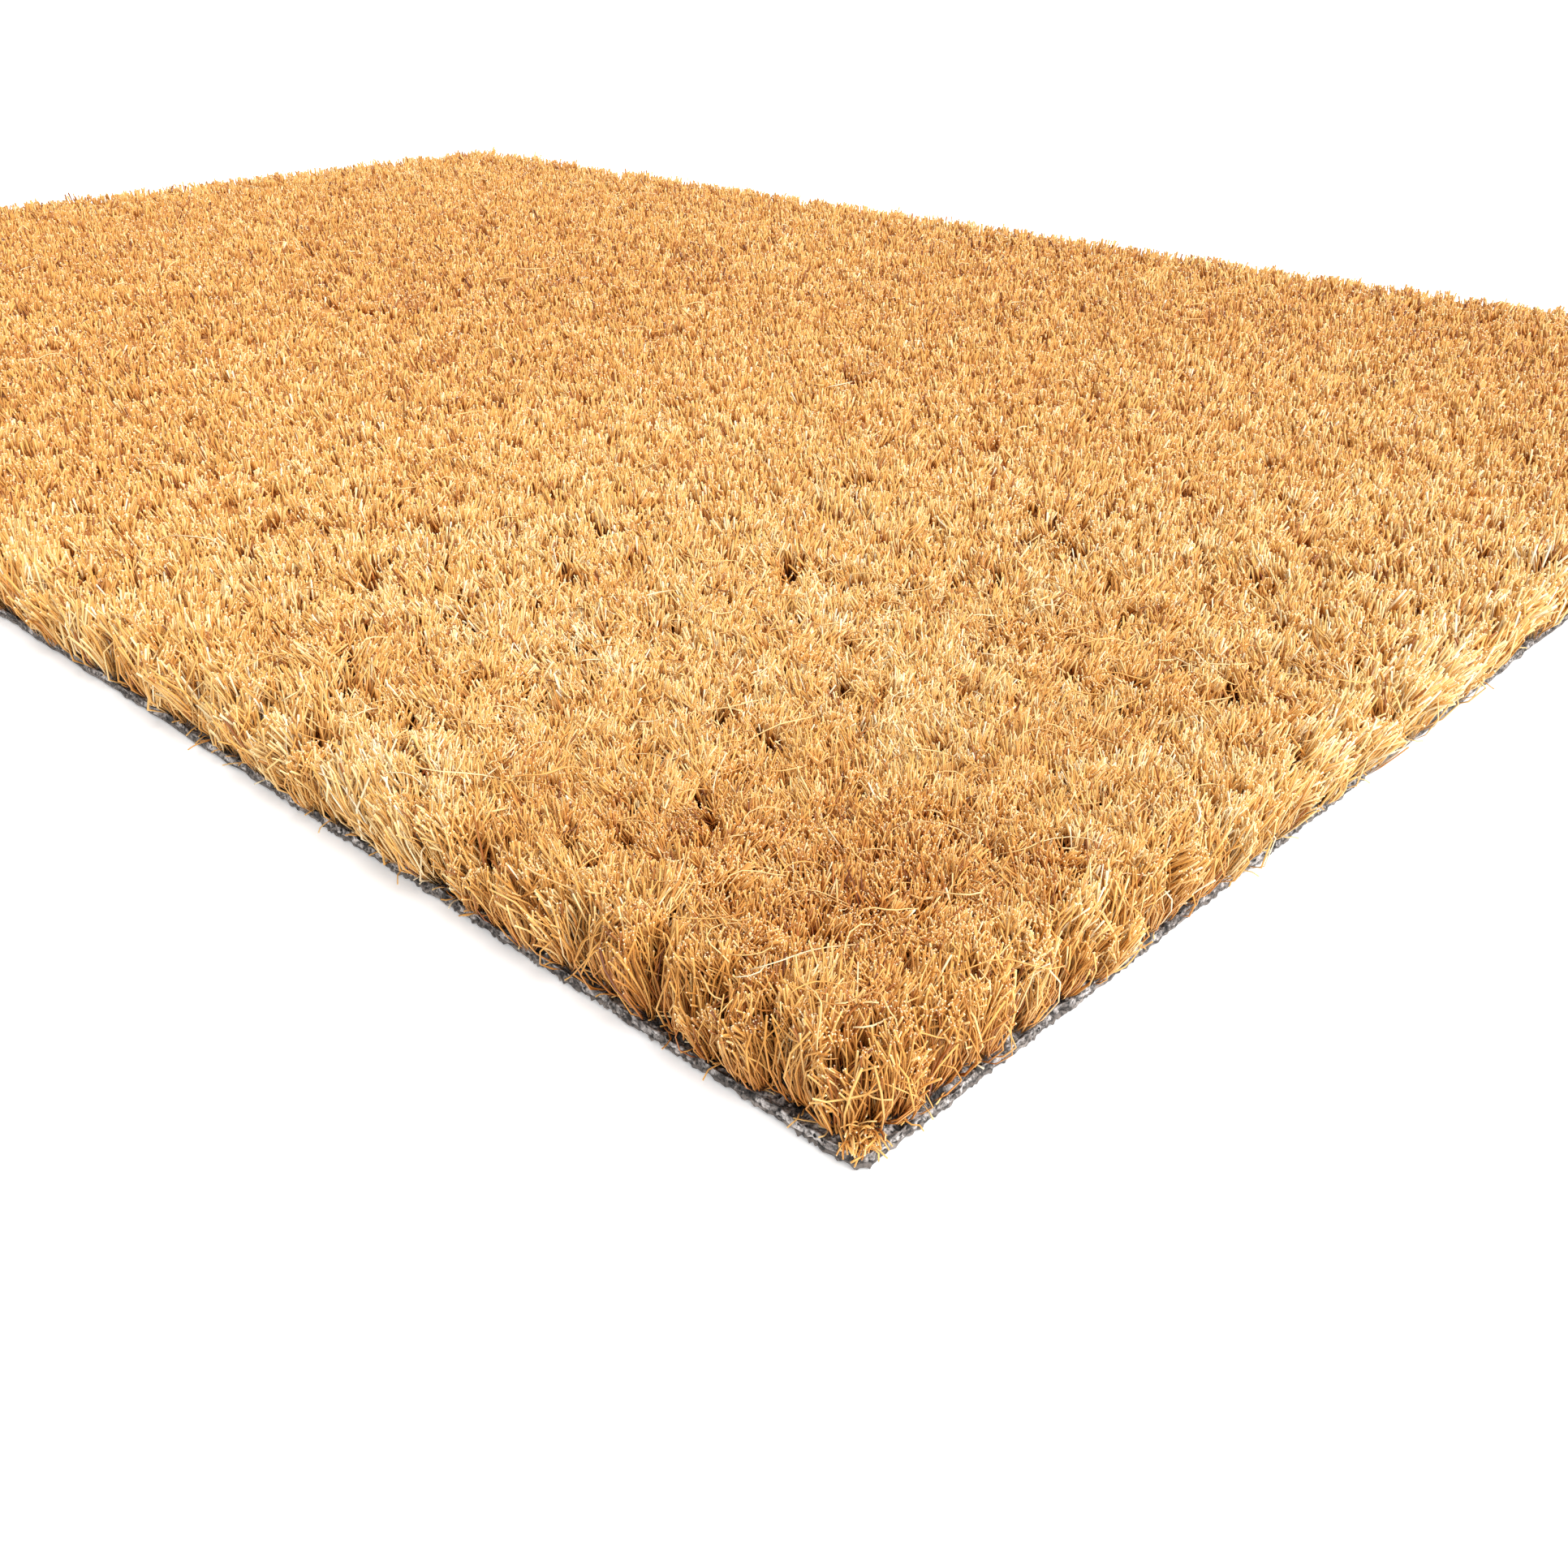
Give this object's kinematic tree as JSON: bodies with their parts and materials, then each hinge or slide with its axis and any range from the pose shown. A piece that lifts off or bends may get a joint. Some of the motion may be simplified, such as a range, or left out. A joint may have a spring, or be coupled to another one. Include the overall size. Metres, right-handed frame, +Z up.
{
  "type": "door mat",
  "caption": "Rectangular coir door mat: cut coconut-fibre pile, sheared flat, standing in a grey foamed PVC backing with a denser non-slip skin beneath.",
  "frame": {"origin": "middle of the underside, on the floor", "axes": "+X along the mat's length, +Y along its width, +Z up out of the pile"},
  "size_m": [0.6, 0.4, 0.017],
  "materials": {
    "dark_pvc": "matt grey PVC with a fine ribbed underside",
    "grey_foam": "matt grey foamed PVC, porous and speckled",
    "coir": "dry natural coconut fibre, golden tan, cut ends paler"
  },
  "bodies": {
    "root": {"backing_skin": "dark_pvc", "backing_foam": "grey_foam", "coir_pile": "coir"}
  },
  "joints": []
}
